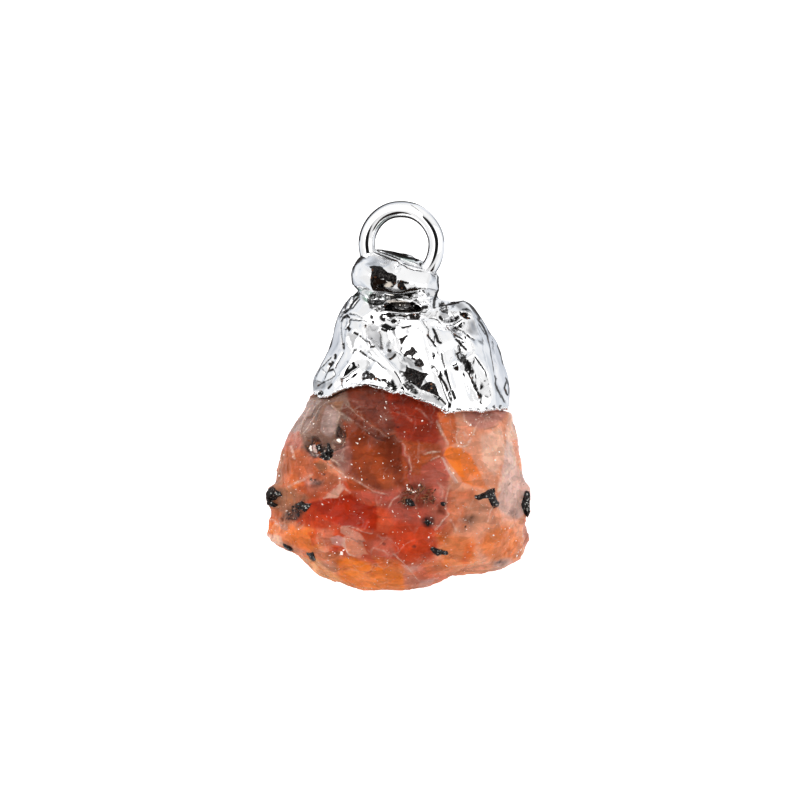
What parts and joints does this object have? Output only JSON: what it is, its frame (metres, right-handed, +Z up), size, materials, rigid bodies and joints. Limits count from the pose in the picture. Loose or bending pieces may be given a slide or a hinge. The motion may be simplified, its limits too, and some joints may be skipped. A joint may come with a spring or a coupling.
{
  "type": "sunstone charm",
  "caption": "Rough sunstone charm: a broken orange-red feldspar lump with dark crystals, a plated metal cap moulded over its top and a round wire ring held in the cap's knob.",
  "frame": {"origin": "middle of the charm's outline seen from above, on the surface that it lies on", "axes": "+Y from the stone towards the ring, +Z up out of the stone's front, +X to the right as the picture shows it"},
  "size_m": [0.0136, 0.02, 0.0079],
  "materials": {
    "sunstone": "satin",
    "plating": "polished",
    "ring_wire": "polished"
  },
  "bodies": {
    "root": {"stone": "sunstone", "cap": "plating", "ring": "ring_wire"}
  },
  "joints": []
}
